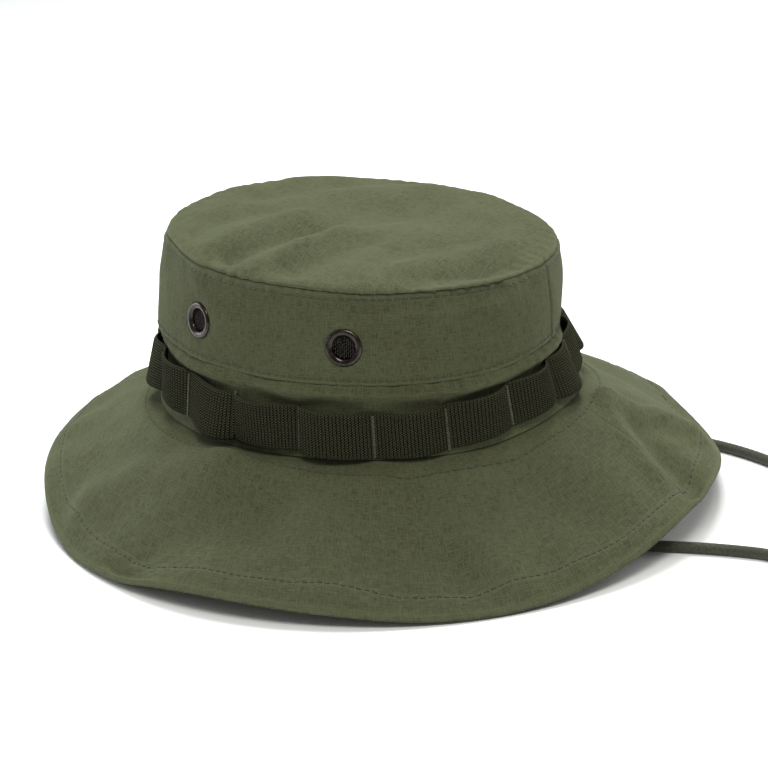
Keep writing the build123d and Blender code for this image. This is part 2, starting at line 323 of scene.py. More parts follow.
def shell(name, outer, thickness, wrap=False, uv=None, wear=None, inner=None, gone=None):
    """A closed piece of cloth: its outer face, its inner face and the edges between them."""
    rows, columns = outer.shape[:2]
    if inner is None:
        inner = outer - normals_of(outer) * thickness
    points = np.concatenate([outer.reshape(-1, 3), inner.reshape(-1, 3)])
    count = rows * columns
    face = quads(rows, columns, wrap)
    if gone is not None:
        face = face[~gone.ravel()]
    faces = [face, face[:, ::-1] + count]

    def edge(first, second):
        faces.append(np.stack([first, first + count, second + count, second], -1))
    border = np.arange(columns if wrap else columns - 1)
    following = (border + 1) % columns
    last = (rows - 1) * columns
    edge(border, following)
    edge(last + following, last + border)
    if not wrap:
        up = np.arange(rows - 1) * columns
        right = up + columns - 1
        edge(up + columns, up)
        edge(right, right + columns)
    if gone is not None:
        faces += hole_rims(gone, columns, count)
    faces = np.concatenate(faces)
    used, faces = np.unique(faces, return_inverse=True)
    faces = faces.reshape(-1, 4)
    if uv is not None:
        uv = np.concatenate([uv.reshape(-1, 2)] * 2)[used]
    if wear is not None:
        wear = np.concatenate([wear.ravel()] * 2)[used]
    return mesh_object(name, points[used], faces, uv, wear)


def cloth_uv(rows_distance, columns_distance):
    v, u = np.meshgrid(rows_distance, columns_distance, indexing="ij")
    return np.stack([u, v], -1)


def finish_piece(piece, material, nodes=()):
    piece.data.materials.append(material)
    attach(piece, BODY)
    if nodes:
        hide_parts(*nodes)


# ---------------------------------------------------------------- materials

# The weaves: yarns and ripstop lines of the canvas, warp yarns of the webbing, and how far a thick
# yarn runs against its width.
WEAVE_PITCH = 0.5 * MM
RIPSTOP_PITCH = 5.2 * MM
YARN_PITCH = 0.55 * MM
SLUB_STRETCH = 9.0


class Shader:
    """A short way to write a node material."""

    def __init__(self, name):
        self.material = bpy.data.materials.new(name)
        self.material.use_nodes = True
        self.tree = self.material.node_tree
        self.surface = self.tree.nodes["Principled BSDF"]

    def node(self, kind, settings=(), **inputs):
        node = self.tree.nodes.new(kind)
        for key, value in dict(settings).items():
            setattr(node, key, value)
        for key, value in inputs.items():
            self.put(node, key, value)
        return node

    def put(self, node, key, value):
        socket = node.inputs[int(key[1:])] if key[0] == "i" and key[1:].isdigit() else node.inputs[key]
        if isinstance(value, bpy.types.NodeSocket):
            self.tree.links.new(value, socket)
        else:
            socket.default_value = value

    def place(self):
        return self.node("ShaderNodeTexCoord").outputs["Object"]

    def cloth_place(self):
        return self.node("ShaderNodeUVMap", {"uv_map": "cloth"}).outputs[0]

    def wear(self):
        return self.node("ShaderNodeAttribute", {"attribute_name": "wear"}).outputs["Fac"]

    def math(self, operation, first, second=0.5):
        return self.node("ShaderNodeMath", {"operation": operation}, i0=first, i1=second).outputs[0]

    def times(self, first, second):
        return self.math("MULTIPLY", first, second)

    def noise(self, vector, scale, detail=3.0, roughness=0.55):
        inputs = {"Vector": vector, "Scale": scale, "Detail": detail, "Roughness": roughness}
        return self.node("ShaderNodeTexNoise", {}, **inputs).outputs["Fac"]

    def ramp(self, value, low, high, bottom=0.0, top=1.0):
        inputs = {"i0": value, "i1": low, "i2": high, "i3": bottom, "i4": top}
        return self.node("ShaderNodeMapRange", {"clamp": True}, **inputs).outputs[0]

    def mix(self, share, first, second):
        return self.node("ShaderNodeMix", {"data_type": "RGBA"}, i0=share, i6=first, i7=second).outputs[2]

    def layers(self, colour, *layers):
        """A colour with others laid over it, each by its own share."""
        for share, tint in layers:
            colour = self.mix(share, colour, tint)
        return colour

    def bump(self, height, distance, strength=1.0, normal=None):
        node = self.node("ShaderNodeBump", {}, Height=height, Distance=distance, Strength=strength)
        if normal is not None:
            self.put(node, "Normal", normal)
        return node.outputs["Normal"]

    def surface_input(self, **inputs):
        for key, value in inputs.items():
            self.put(self.surface, key.replace("_", " "), value)


def rgb(red, green, blue):
    return (red, green, blue, 1.0)


def weave_height(shader, pitch_u, pitch_v):
    """Over and under of a plain weave, from the cloth's own flat coordinates."""
    split = shader.node("ShaderNodeSeparateXYZ", {}, i0=shader.cloth_place())
    warp = shader.math("SINE", shader.times(split.outputs[0], math.pi / pitch_u))
    weft = shader.math("SINE", shader.times(split.outputs[1], math.pi / pitch_v))
    return shader.times(warp, weft), split


def canvas_material(name, base, faded, dark):
    """Cotton with a visible weave, painted shade in the weave's low cells, uneven dye, and paler worn edges.
    """
    shader = Shader(name)
    place = shader.place()
    weave, split = weave_height(shader, WEAVE_PITCH, WEAVE_PITCH)
    lines, yarns = [], []
    for axis, stretch in ((0, (1.0, SLUB_STRETCH, 1.0)), (1, (SLUB_STRETCH, 1.0, 1.0))):
        line = shader.math("COSINE", shader.times(split.outputs[axis], math.pi / RIPSTOP_PITCH))
        lines.append(shader.math("POWER", shader.math("ABSOLUTE", line), 60.0))
        mapping = shader.node("ShaderNodeMapping", {}, i0=shader.cloth_place(), Scale=stretch)
        yarns.append(shader.noise(mapping.outputs[0], 260.0, 2.0))
    ripstop = shader.math("MAXIMUM", *lines)
    slubs = shader.math("ADD", *yarns)
    broad = shader.noise(place, 14.0)
    mottle = shader.noise(place, 120.0, 4.0, 0.65)
    worn = shader.times(shader.wear(), shader.ramp(mottle, 0.35, 0.65, 0.35, 1.0))
    colour = shader.layers(
        base,
        (shader.ramp(broad, 0.35, 0.68), faded),
        (shader.ramp(mottle, 0.40, 0.72, 0.0, 0.45), dark),
        (shader.ramp(slubs, 0.95, 1.2, 0.0, 0.85), faded),
        (shader.ramp(slubs, 0.75, 0.98, 0.75, 0.0), dark),
        # painted shade: the weave's low cells, sunk in the bump, are painted darker
        (shader.ramp(weave, -0.9, 0.9, 0.5, 0.0), dark),
        (shader.times(ripstop, 0.22), faded),
        (shader.times(worn, 0.45), rgb(0.140, 0.150, 0.085)))
    fine = shader.math("ADD", shader.times(weave, 0.5), shader.times(ripstop, 0.7))
    normal = shader.bump(fine, 0.12 * MM, 0.8)
    normal = shader.bump(shader.noise(place, 420.0, 4.0, 0.7), 0.25 * MM, 0.35, normal)
    normal = shader.bump(shader.noise(place, 75.0, 3.0, 0.5), 0.9 * MM, 0.35, normal)
    shader.surface_input(Base_Color=colour, Roughness=0.92, Specular_IOR_Level=0.25, Normal=normal)
    shader.surface_input(Sheen_Weight=0.15, Sheen_Roughness=0.5, Sheen_Tint=rgb(0.40, 0.45, 0.28))
    return shader.material


def webbing_material():
    """Ribbed webbing: cords across the width, crossed by fine warp yarns, with painted shade in the rib
    grooves and painted glints on the yarns' tops.
    """
    shader = Shader("webbing")
    weave, split = weave_height(shader, RIB_PITCH / 2, YARN_PITCH)
    rib = shader.math("COSINE", shader.times(split.outputs[0], 2 * math.pi / RIB_PITCH))
    fibre = shader.noise(shader.place(), 900.0, 3.0, 0.7)
    colour = shader.layers(
        # painted shade: the near-black base shows in the grooves between ribs, and the rib crests are painted
        # lighter
        rgb(0.0014, 0.0014, 0.0007),
        (shader.ramp(rib, -0.8, 0.9), rgb(0.026, 0.026, 0.012)),
        # painted highlight: pale glints on the weave's raised tops
        (shader.ramp(weave, 0.48, 0.88), rgb(0.120, 0.122, 0.062)),
        (shader.ramp(fibre, 0.45, 0.75, 0.0, 0.4), rgb(0.030, 0.031, 0.017)),
        (shader.times(shader.wear(), 0.5), rgb(0.040, 0.040, 0.024)))
    normal = shader.bump(weave, 0.35 * MM)
    shader.surface_input(Base_Color=colour, Roughness=0.78, Specular_IOR_Level=0.12, Normal=normal)
    return shader.material


def fibre_material(name, base, pale, scale=700.0):
    """Thread, cord and tape: fine fibres with an uneven colour."""
    shader = Shader(name)
    place = shader.place()
    fine = shader.noise(place, scale, 4.0, 0.7)
    broad = shader.noise(place, 45.0, 2.0)
    colour = shader.layers(
        base,
        (shader.ramp(fine, 0.35, 0.7), pale),
        (shader.ramp(broad, 0.35, 0.7, 0.0, 0.4), base))
    normal = shader.bump(fine, 0.15 * MM, 0.5)
    shader.surface_input(Base_Color=colour, Roughness=0.8, Sheen_Weight=0.15, Normal=normal)
    return shader.material


def bronze_material():
    """Dark bronzed brass with rubbed, brighter high spots."""
    shader = Shader("vent_bronze")
    patina = shader.noise(shader.place(), 380.0, 4.0, 0.6)
    rubbed = shader.times(shader.wear(), shader.ramp(patina, 0.4, 0.62))
    colour = shader.layers(
        rgb(0.005, 0.003, 0.002),
        (shader.ramp(patina, 0.3, 0.7), rgb(0.016, 0.009, 0.006)),
        (rubbed, rgb(0.060, 0.038, 0.026)))
    shader.surface_input(Base_Color=colour, Roughness=shader.ramp(patina, 0.3, 0.7, 0.16, 0.34), Metallic=0.7)
    shader.surface_input(Coat_Weight=0.35, Coat_Roughness=0.08, Normal=shader.bump(patina, 0.1 * MM, 0.25))
    return shader.material


def leather_material():
    """Brown leather with a fine grain."""
    shader = Shader("keeper_leather")
    place = shader.place()
    cells = shader.node("ShaderNodeTexVoronoi", {"feature": "DISTANCE_TO_EDGE"}, Vector=place, Scale=1400.0)
    grain = shader.ramp(cells.outputs[0], 0.0, 0.25)
    broad = shader.noise(place, 160.0)
    colour = shader.layers(
        rgb(0.035, 0.018, 0.010),
        (shader.ramp(broad, 0.3, 0.7), rgb(0.085, 0.046, 0.026)),
        (shader.ramp(grain, 0.0, 0.6, 0.5, 0.0), rgb(0.015, 0.008, 0.005)))
    shader.surface_input(Base_Color=colour, Roughness=shader.ramp(broad, 0.3, 0.7, 0.42, 0.6))
    shader.surface_input(Normal=shader.bump(grain, 0.15 * MM, 0.6))
    return shader.material


def floor_material():
    shader = Shader("floor_paper")
    shader.surface_input(Base_Color=rgb(0.97, 0.97, 0.965), Roughness=0.9)
    return shader.material


CANVAS = canvas_material(
    "canvas", rgb(0.069, 0.073, 0.034), rgb(0.094, 0.104, 0.053), rgb(0.033, 0.034, 0.015))
LINING = canvas_material(
    "lining_canvas", rgb(0.064, 0.069, 0.033), rgb(0.086, 0.094, 0.048), rgb(0.03, 0.032, 0.015))
WEB = webbing_material()
THREAD_FIBRE = fibre_material("sewing_thread", rgb(0.026, 0.028, 0.013), rgb(0.056, 0.060, 0.030))
TACK_FIBRE = fibre_material("tack_thread", rgb(0.022, 0.022, 0.012), rgb(0.105, 0.105, 0.064))
CORD_FIBRE = fibre_material("cord_braid", rgb(0.018, 0.019, 0.010), rgb(0.060, 0.061, 0.036), 900.0)
TAPE_FIBRE = fibre_material("cotton_tape", rgb(0.080, 0.088, 0.048), rgb(0.130, 0.140, 0.085), 500.0)
TAG = fibre_material("tag_cloth", rgb(0.40, 0.39, 0.33), rgb(0.55, 0.54, 0.47), 600.0)
BRONZE = bronze_material()
LEATHER = leather_material()


# ---------------------------------------------------------------- crown

# How far from a vent's middle the cloth is held flat, and over what distance it comes free.
CALM_RADIUS = 7.5 * MM
CALM_REACH = 7 * MM

WALL_BELLY = 0.9 * MM

# Folds in the wall: from and to (degrees, millimetres up), width and height in millimetres.
WALL_FOLDS = (
    ((200, 118), (246, 121), 4.0, -1.6),
    ((214, 112), (250, 114), 6.0, 1.3),
    ((150, 118), (168, 96), 7.0, 0.8),
    ((228, 90), (252, 98), 5.0, -0.9),
    ((30, 92), (62, 116), 6.0, 1.0),
    ((330, 114), (350, 96), 7.0, -0.9),
    ((100, 96), (124, 115), 6.0, 0.9),
)


def vent_calm(points):
    """0 beside a vent, where the flange holds the cloth flat, and 1 away from it."""
    calm = 1.0
    for place, _, _, _ in vent_frames():
        away = np.linalg.norm(points - place, axis=-1)
        calm = calm * np.clip((away - CALM_RADIUS) / CALM_REACH, 0, 1) ** 0.7
    return calm


def unrolled(degrees, height):
    """A place on the wall laid out flat, in millimetres."""
    return arc_length(math.radians(degrees)) / MM, height


def wall_relief(z, turn):
    """How far the upper wall's cloth stands off its plain shape."""
    plain = ring(wall_offset(z), z, turn)
    along = arc_length(turn)
    share = np.clip((z - LAP_Z) / (RIM_Z - LAP_Z), 0, 1)
    height = WALL_BELLY * np.sin(math.pi * share) + wander(plain, WALL_WANDER)
    table = [(unrolled(*start), unrolled(*end), width, lift) for start, end, width, lift in WALL_FOLDS]
    height = height + folds(np.stack([along, z], -1), table)
    height = height + groove(RIM_Z - z, *RIM_GROOVE) + groove(z - LAP_Z - LAP_STITCH, *LAP_GROOVE)
    height = height + pucker(along, RIM_Z - z, *RIM_PUCKER) + pucker(along, z - LAP_Z, *LAP_PUCKER)
    seams = arc_length(np.array([-0.5, 0.5, 1.5]) * math.pi)
    height = height + groove(np.abs(along[..., None] - seams).min(-1), *WALL_SEAM_GROOVE)
    return height * vent_calm(plain)


def wall_points(z, turn):
    return ring(wall_offset(z), z, turn) + outward(turn) * wall_relief(z, turn)[..., None]


def seam_wear(*distances):
    """Fading along seams and edges, from distances in metres."""
    total = 0.0
    for distance in distances:
        total = np.maximum(total, np.exp(-(distance / (1.6 * MM)) ** 2))
    return total


def crown_half(name, outer, rows, turn, thickness, wear, gone=None):
    """One half of a course of the crown, as a sheet of cloth."""
    uv = cloth_uv(rows, arc_length(turn))
    piece = shell(f"{name}_cloth", outer, thickness, uv=uv, wear=wear, gone=gone)
    finish_piece(piece, CANVAS, [name])


def crown_walls():
    rows = np.linspace(LAP_Z, WALL_TOP_Z, 64)
    for side, turn in halves(420, 0.02):
        z, angle = np.meshgrid(rows, turn, indexing="ij")
        outer = wall_points(z, angle)
        wear = 0.7 * seam_wear(z - LAP_Z, RIM_Z - z)
        crown_half(f"crown_wall_{side}", outer, rows, turn, CLOTH, wear,
                   vent_cells(outer))


# The lower band's puff: its mean size and how far that wanders, its least and most, its height on
# the crown, its reach, and the rise of the webbing that presses it flat.
PUFF = 4.4 * MM
PUFF_WANDER = 1.1 * MM
PUFF_RANGE = (1.8 * MM, 5.6 * MM)
PUFF_Z = LAP_Z - 3.6 * MM
PUFF_REACH = 2.7 * MM
PUFF_PRESSED = 4.5 * MM

# The band lies smooth up to here, behind the webbing, and stands off a little at its foot.
BAND_SMOOTH_Z = 74 * MM
BAND_FOOT = 3 * MM


def band_relief(z, turn):
    """The lower band puffs out between the lapped seam and the webbing."""
    plain = ring(wall_offset(z), z, turn)
    along = arc_length(turn)
    puff = np.clip(PUFF + PUFF_WANDER * wavering(along, 55 * MM, 21), *PUFF_RANGE)
    puff = puff * np.clip(1 - waves(turn, WEBBING_RISES) / PUFF_PRESSED, 0.1, 1)
    height = puff * np.exp(-((z - PUFF_Z) / PUFF_REACH) ** 2)
    height = height + 0.3 * MM * softness(plain, 25 * MM, 22) * np.clip((z - BAND_SMOOTH_Z) / (6 * MM), 0, 1)
    height = height + pucker(along, z - LAP_Z, *BAND_PUCKER)
    foot = np.clip((SEAM_Z + BAND_FOOT - z) / BAND_FOOT, 0, 1)
    return height + 0.5 * MM * foot ** 2


def crown_bands():
    rows = np.linspace(SEAM_Z, LAP_Z + LAP_HEIGHT, 60)
    for side, turn in halves(380, 0.02):
        z, angle = np.meshgrid(rows, turn, indexing="ij")
        outer = ring(wall_offset(z) - LAP_STEP, z, angle)
        behind = np.clip((z - LAP_Z) / (1.5 * MM), 0, 1)
        relief = band_relief(z, angle) * (1 - behind) + wall_relief(z, angle) * behind
        outer += outward(angle) * relief[..., None]
        crown_half(f"crown_band_{side}", outer, rows, turn, CLOTH * 0.9, 0.4 * seam_wear(z - SEAM_Z))


# Folds in the top panel: from and to in plan, width and height in millimetres.
TOP_FOLDS = (
    ((-54, 46), (-6, 26), 8.0, 3.38),
    ((-60, 32), (-18, 12), 6.0, -3.64),
    ((-66, 14), (-20, -2), 7.0, 3.38),
    ((-62, -2), (-26, -18), 8.0, -3.12),
    ((-56, -60), (-16, -85), 7.0, -4.42),
    ((-44, -48), (0, -72), 8.0, 2.86),
    ((20, 60), (48, 34), 11.0, -2.6),
    ((30, -40), (52, -8), 12.0, 2.34),
    ((-14, 70), (18, 76), 10.0, 2.08),
    ((-40, 64), (-12, 52), 8.0, -1.82),
)

# The panel stands over the wall's edge, and bulges out a little below its seam.
TOP_STAND = 0.2 * MM
TOP_BULGE = 0.011
BULGE_AT = 3.0 * MM


def top_height(plan, radius):
    """Height of the crown's top over its seam. Radius is 0 in the middle and 1 at the seam."""
    inner = np.clip((1 - radius) / 0.12, 0, 1)
    flat = np.concatenate([plan, 0 * plan[..., :1]], -1)
    soft = wander(flat, TOP_WANDER) + folds(plan, TOP_FOLDS)
    return TOP_DOME * (1 - radius ** 4) ** 0.5 + inner * soft


def crown_top():
    """The top panel, as a square grid pulled into an oval, so that it has no pole."""
    line = np.linspace(-1, 1, 181)
    v, u = np.meshgrid(line, line, indexing="ij")
    x = u * np.sqrt(1 - v * v / 2)
    y = v * np.sqrt(1 - u * u / 2)
    radius = np.clip(np.hypot(x, y), 0, 1)
    plan = np.stack([x * TOP_WIDTH, y * TOP_LENGTH], -1)
    turn = np.arctan2(y, x)
    away = (1 - radius) * TOP_WIDTH
    lean = TOP_LIFT + BACK_LIFT * plan[..., 1] / TOP_LENGTH
    z = RIM_Z + TOP_STAND + lean + top_height(plan, radius)
    z = z + pucker(arc_length(turn), away - 4 * MM, *TOP_PUCKER)
    bulge = 1.0 + TOP_BULGE * np.exp(-((away - BULGE_AT) / BULGE_AT) ** 2)
    rim = wall_relief(np.full_like(radius, WALL_TOP_Z), turn)[..., None] * outward(turn)[..., :2]
    spread = plan * bulge[..., None] + rim * (radius ** 6)[..., None]
    outer = np.concatenate([spread, z[..., None]], -1)
    wear = 0.7 * seam_wear(away)
    piece = shell("crown_top_cloth", outer, CLOTH, uv=outer[..., :2], wear=wear)
    finish_piece(piece, CANVAS, ["crown_top_panel"])


# ---------------------------------------------------------------- brim

# Folds in the brim: from and to in plan, width and height in millimetres.
BRIM_FOLDS = (
    ((14, -110), (-5, -140), 6.5, 4.2),
    ((20, -113), (45, -141), 7.5, 4.6),
    ((12, -128), (4, -158), 8.0, -5.2),
    ((30, -118), (24, -130), 8.0, -2.4),
    ((-132, 58), (-113, -6), 12.0, -5.2),
    ((-97, 98), (-98, 22), 11.0, 5.4),
    ((-98, 22), (-90, -10), 9.0, 2.2),
    ((-112, -34), (-124, -54), 14.0, 2.4),
    ((-80, -62), (-97, -94), 9.0, -2.8),
    ((-84, -84), (-84, -118), 13.0, 1.6),
    ((-52, -102), (-44, -140), 13.0, -3.0),
    ((96, 62), (118, 84), 10.0, -2.2),
    ((104, 20), (136, 14), 12.0, 1.8),
    ((86, -76), (112, -96), 11.0, 2.0),
    ((36, 120), (44, 148), 11.0, -2.0),
    ((-30, 118), (-44, 146), 12.0, 1.8),
)


# Where the brim's slope bows up or sags, in waves.
BRIM_BOWS = (
    (228.0, 38.0, 34.0, -3.8),
    (163.0, 34.0, 30.0, 4.0),
    (292.0, 30.0, 34.0, 2.6),
    (35.0, 40.0, 40.0, -2.5),
)

# The brim's cloth against its plan: along the slope, round its middle, and round its edge.
SLOPE_STRETCH = 1.28
MIDDLE_STRETCH = 1.3

# The edge is rounded over this run, and the knee near the crown over this height.
EDGE_ROUND = 1.4 * MM
KNEE_ROUND = 1.2 * MM


def brim_height(offset, turn):
    """Height of the brim's upper face."""
    top = SEAM_Z - PLY_GAP
    flat_slope = BRIM_FLAT_DROP / (BRIM_FLAT - BRIM_INNER)
    near = top - flat_slope * (offset - BRIM_INNER)
    low = waves(turn, EDGE_WAVES) + BRIM_THICKNESS + REST_GAP
    knee = top - BRIM_FLAT_DROP
    far = knee + (low - knee) * (offset - BRIM_FLAT) / (BRIM_RUN - BRIM_FLAT)
    return (near + far - np.sqrt((near - far) ** 2 + KNEE_ROUND ** 2)) / 2


def brim_relief(points, offset, turn):
    """Waves, folds and sewing marks of the brim's cloth."""
    along = arc_length(turn) * (1 + offset / HALF_LENGTH)
    share = np.clip(offset / BRIM_RUN, 0, 1)
    inward = BRIM_RUN - offset
    free = np.clip(offset / (14 * MM), 0, 1) * np.clip(inward / (7 * MM), 0, 1)
    folded = np.clip(offset / (10 * MM), 0, 1) * np.clip(inward / (3 * MM), 0.25, 1)
    height = free * wander(points * np.array([1.0, 1.0, 0.0]), BRIM_WANDER)
    height = height + waves(turn, BRIM_BOWS) * np.sin(math.pi * share)
    height = height + folded * folds(points[..., :2], BRIM_FOLDS)
    hem, base = inward - HEM_WIDTH, offset - BASE_STITCH
    height = height + groove(hem, *HEM_GROOVE) + groove(base, *BASE_GROOVE)
    height = height + pucker(along, hem, *HEM_PUCKER) + pucker(along, base, *BASE_PUCKER)
    return height + share * groove(points[..., 0], *BRIM_SEAM_GROOVE)


def brim_face(offsets, turn, depth):
    """A face of the brim, at a depth below its upper one."""
    offset, angle = np.meshgrid(offsets, turn, indexing="ij")
    points = ring(offset, brim_height(offset, angle), angle)
    points[..., 2] += brim_relief(points, offset, angle)
    edge = np.clip((offset - (BRIM_RUN - EDGE_ROUND)) / EDGE_ROUND, 0, 1)
    middle = BRIM_THICKNESS / 2
    points[..., 2] -= depth + (middle - depth) * (1 - np.sqrt(1 - edge ** 2)) * 0.9
    return points


def brim_ply(name, offsets, turn, depth):
    """One half of one ply. Its rows run inwards, so that its outward side is up."""
    upper = brim_face(offsets, turn, depth)
    lower = brim_face(offsets, turn, depth + CLOTH)
    away = BRIM_RUN - offsets
    wear = np.repeat((0.8 * seam_wear(away, (away - HEM_WIDTH) * 1.5))[:, None], len(turn), 1)
    uv = cloth_uv(offsets * SLOPE_STRETCH, arc_length(turn) * MIDDLE_STRETCH)
    piece = shell(f"{name}_cloth", upper[::-1], CLOTH, uv=uv[::-1], wear=wear[::-1], inner=lower[::-1])
    finish_piece(piece, CANVAS, [name])


def brim_interlining():
    turn = round_angles(480)
    offsets = np.linspace(BRIM_INNER + 1 * MM, BRIM_RUN - 3.2 * MM, 40)
    upper = brim_face(offsets, turn, CLOTH + PLY_GAP)[::-1]
    lower = brim_face(offsets, turn, CLOTH + PLY_GAP + INTERLINING)[::-1]
    piece = shell("brim_interlining_cloth", upper, INTERLINING, wrap=True, uv=upper[..., :2], inner=lower)
    finish_piece(piece, LINING, ["brim_interlining"])


def brim():
    inner = np.linspace(BRIM_INNER, BRIM_RUN - 3 * MM, 76)
    edge = BRIM_RUN - 3 * MM * (1 - np.sin(np.linspace(0, math.pi / 2, 14)[1:]))
    offsets = np.concatenate([inner, edge])
    for side, turn in halves(440, 0.01):
        brim_ply(f"brim_upper_{side}", offsets, turn, 0.0)
        brim_ply(f"brim_lower_{side}", offsets, turn, BRIM_THICKNESS - CLOTH)
    brim_interlining()


# ---------------------------------------------------------------- webbing

# Each loop's lift at its lower and upper edge in millimetres and the place of its crest.
LOOP_LIFTS = ((3.0, 5.6, 0.60), (5.2, 2.6, 0.42), (2.2, 4.0, 0.66), (6.2, 3.0, 0.36), (3.4, 5.2, 0.55),
              (6.4, 3.0, 0.66), (2.6, 5.4, 0.40), (5.0, 6.2, 0.34), (2.4, 4.6, 0.60))

# Where the webbing rides up or sags on the crown, in waves.
WEBBING_RISES = (
    (262.0, 30.0, 22.0, 1.5),
    (301.0, 36.0, 34.0, 5.5),
    (128.0, 26.0, 24.0, 3.0),
    (212.0, 42.0, 32.0, -4.4),
)

RIB_HEIGHT = 0.2 * MM
SELVAGE_ROUND = 0.35 * MM


def loop_lift(turn, up):
    """How far the webbing stands off the crown between its tacks."""
    place = (np.degrees(turn) - FIRST_TACK) % 360.0 / (360.0 / LOOP_COUNT)
    index = np.floor(place).astype(int) % LOOP_COUNT
    low, high, crest = np.moveaxis(np.array(LOOP_LIFTS)[index % len(LOOP_LIFTS)], -1, 0)
    share = place - np.floor(place)
    bow = np.sin(math.pi * share ** (math.log(0.5) / np.log(crest))) ** 0.8
    return (low + (high - low) * up) * MM * bow


def webbing_points(turn, up):
    """The webbing's outer face. Up is 0 at its lower edge and 1 at its upper edge."""
    along = arc_length(turn)
    z = WEBBING_LOW_Z + (WEBBING_HIGH_Z - WEBBING_LOW_Z) * up
    z = z + waves(turn, WEBBING_RISES) + 0.5 * MM * wavering(along, 70 * MM, 51)
    rib = RIB_HEIGHT * np.cos(2 * math.pi * along / RIB_PITCH)
    selvage = np.clip(np.minimum(up, 1 - up) / 0.05, 0, 1)
    offset = wall_offset(z) - CLOTH + WEBBING + loop_lift(turn, up) + rib * selvage
    return ring(offset, z, turn)


def webbing():
    up, angle = np.meshgrid(np.linspace(0, 1, 19), round_angles(2800), indexing="ij")
    face = webbing_points(angle, up)
    smooth = outward(angle)
    edge = np.minimum(up, 1 - up)
    rounded = SELVAGE_ROUND * (1 - np.clip(edge / 0.06, 0, 1)) ** 2
    outer = face - smooth * rounded[..., None]
    inner = face - smooth * (WEBBING - rounded)[..., None]
    height = WEBBING_HIGH_Z - WEBBING_LOW_Z
    uv = np.stack([arc_length(angle), up * height], -1)
    wear = np.exp(-(edge * height / (0.7 * MM)) ** 2)
    piece = shell("webbing_loops", outer, WEBBING, wrap=True, uv=uv, wear=wear, inner=inner)
    finish_piece(piece, WEB, ["webbing_band"])


# A stitch is a bar that tapers at both ends: places along its half length, and widths there.
STITCH_STATIONS = np.array([-1.0, -0.85, -0.45, 0.45, 0.85, 1.0])
STITCH_WIDTHS = np.array([0.15, 0.7, 1.0, 1.0, 0.7, 0.15])
THREAD_SIDES = 6

# A bar tack's threads: how many, half their length, their radius and their slant.
TACK_ROWS = 34
TACK_HALF = 0.75 * MM
TACK_THREAD = 0.28 * MM
TACK_SLANT = 0.10


def stitches(name, centres, along, normal, half_length, radius, material, nodes=()):
    """Many stitches as one piece, each a small rounded bar lying on the cloth."""
    stations, widths = STITCH_STATIONS * half_length, STITCH_WIDTHS * radius
    angles = round_angles(THREAD_SIDES)
    across = np.cross(normal, along)
    circle = (np.cos(angles)[:, None, None] * normal[None] + np.sin(angles)[:, None, None] * across[None])
    points = (centres[None, None] + stations[:, None, None, None] * along[None, None]
              + widths[:, None, None, None] * circle[None])
    points = points.transpose(2, 0, 1, 3)
    each = len(stations) * THREAD_SIDES
    faces = []
    for index in range(len(centres)):
        faces += tube_faces(len(stations), THREAD_SIDES, index * each)
    finish_piece(mesh_object(name, points.reshape(-1, 3), faces), material, nodes)


def stitch_row(name, line, normal):
    """A row of stitches along a closed line of points, with the cloth's normals."""
    steps = np.linalg.norm(np.diff(line, axis=0, append=line[:1]), axis=-1)
    travel = np.concatenate([[0.0], np.cumsum(steps)])
    total = travel[-1]
    count = int(total / (STITCH + STITCH_GAP))
    places = (np.arange(count) + 0.5) * total / count
    closed = np.concatenate([line, line[:1]])
    closed_normal = np.concatenate([normal, normal[:1]])

    def at(values, distance):
        return np.stack([np.interp(distance % total, travel, values[:, axis]) for axis in range(3)], -1)
    centres = at(closed, places)
    along = unit(at(closed, places + STITCH / 3) - at(closed, places - STITCH / 3))
    up = at(closed_normal, places)
    up = unit(up - along * (up * along).sum(-1, keepdims=True))
    stitches(name, centres + up * THREAD * 0.3, along, up, STITCH / 2, THREAD, THREAD_FIBRE)


def tacks():
    """Each tack is a column of short threads sewn across the webbing."""
    degrees = FIRST_TACK + 360.0 * np.arange(LOOP_COUNT) / LOOP_COUNT
    turn = np.radians(np.repeat(degrees, TACK_ROWS))
    up = np.tile(np.linspace(0.06, 0.94, TACK_ROWS), LOOP_COUNT)
    normal = outward(turn)
    along = np.stack([-normal[:, 1], normal[:, 0], 0 * turn], -1)
    slant = np.where(np.arange(len(turn)) % 2 == 0, TACK_SLANT, -TACK_SLANT)
    along = unit(along + np.array([0.0, 0.0, 1.0]) * slant[:, None])
    centres = webbing_points(turn, up) + normal * TACK_THREAD
    stitches("webbing_tack_threads", centres, along, normal, TACK_HALF, TACK_THREAD, TACK_FIBRE,
             ["webbing_bar_tacks"])


def seam_stitches():
    turn = round_angles(2400)
    for name, z in (("thread_top_seam", RIM_Z - RIM_STITCH), ("thread_lap_seam", LAP_Z + LAP_STITCH)):
        line = wall_points(np.full_like(turn, z), turn)
        stitch_row(name, line, outward(turn))
    for name, offset in (("thread_brim_hem", BRIM_RUN - HEM_WIDTH), ("thread_brim_base", BASE_STITCH)):
        offsets = np.array([offset - 0.5 * MM, offset, offset + 0.5 * MM])
        face = brim_face(offsets, turn, 0.0)
        slope = face[2] - face[0]
        along = np.roll(face[1], -1, 0) - np.roll(face[1], 1, 0)
        stitch_row(name, face[1], unit(np.cross(slope, along)))


# ---------------------------------------------------------------- vents

def vent_frames():
    """Place, outward direction, sideways direction and the other one, for each vent."""
    frames = []
    for away in VENT_ANGLES:
        for degrees in (away, 180.0 - away):
            turn = math.radians(degrees)
            heights = np.array([VENT_Z - 1 * MM, VENT_Z + 1 * MM])
            up = np.diff(ring(wall_offset(heights), heights, turn), axis=0)[0]
            turns = np.array([turn - 0.01, turn + 0.01])
            side = unit(np.diff(ring(wall_offset(VENT_Z), VENT_Z, turns), axis=0)[0])
            normal = unit(np.cross(side, up))
            frames.append((ring(wall_offset(VENT_Z), VENT_Z, turn), normal, side, np.cross(normal, side)))
    return frames


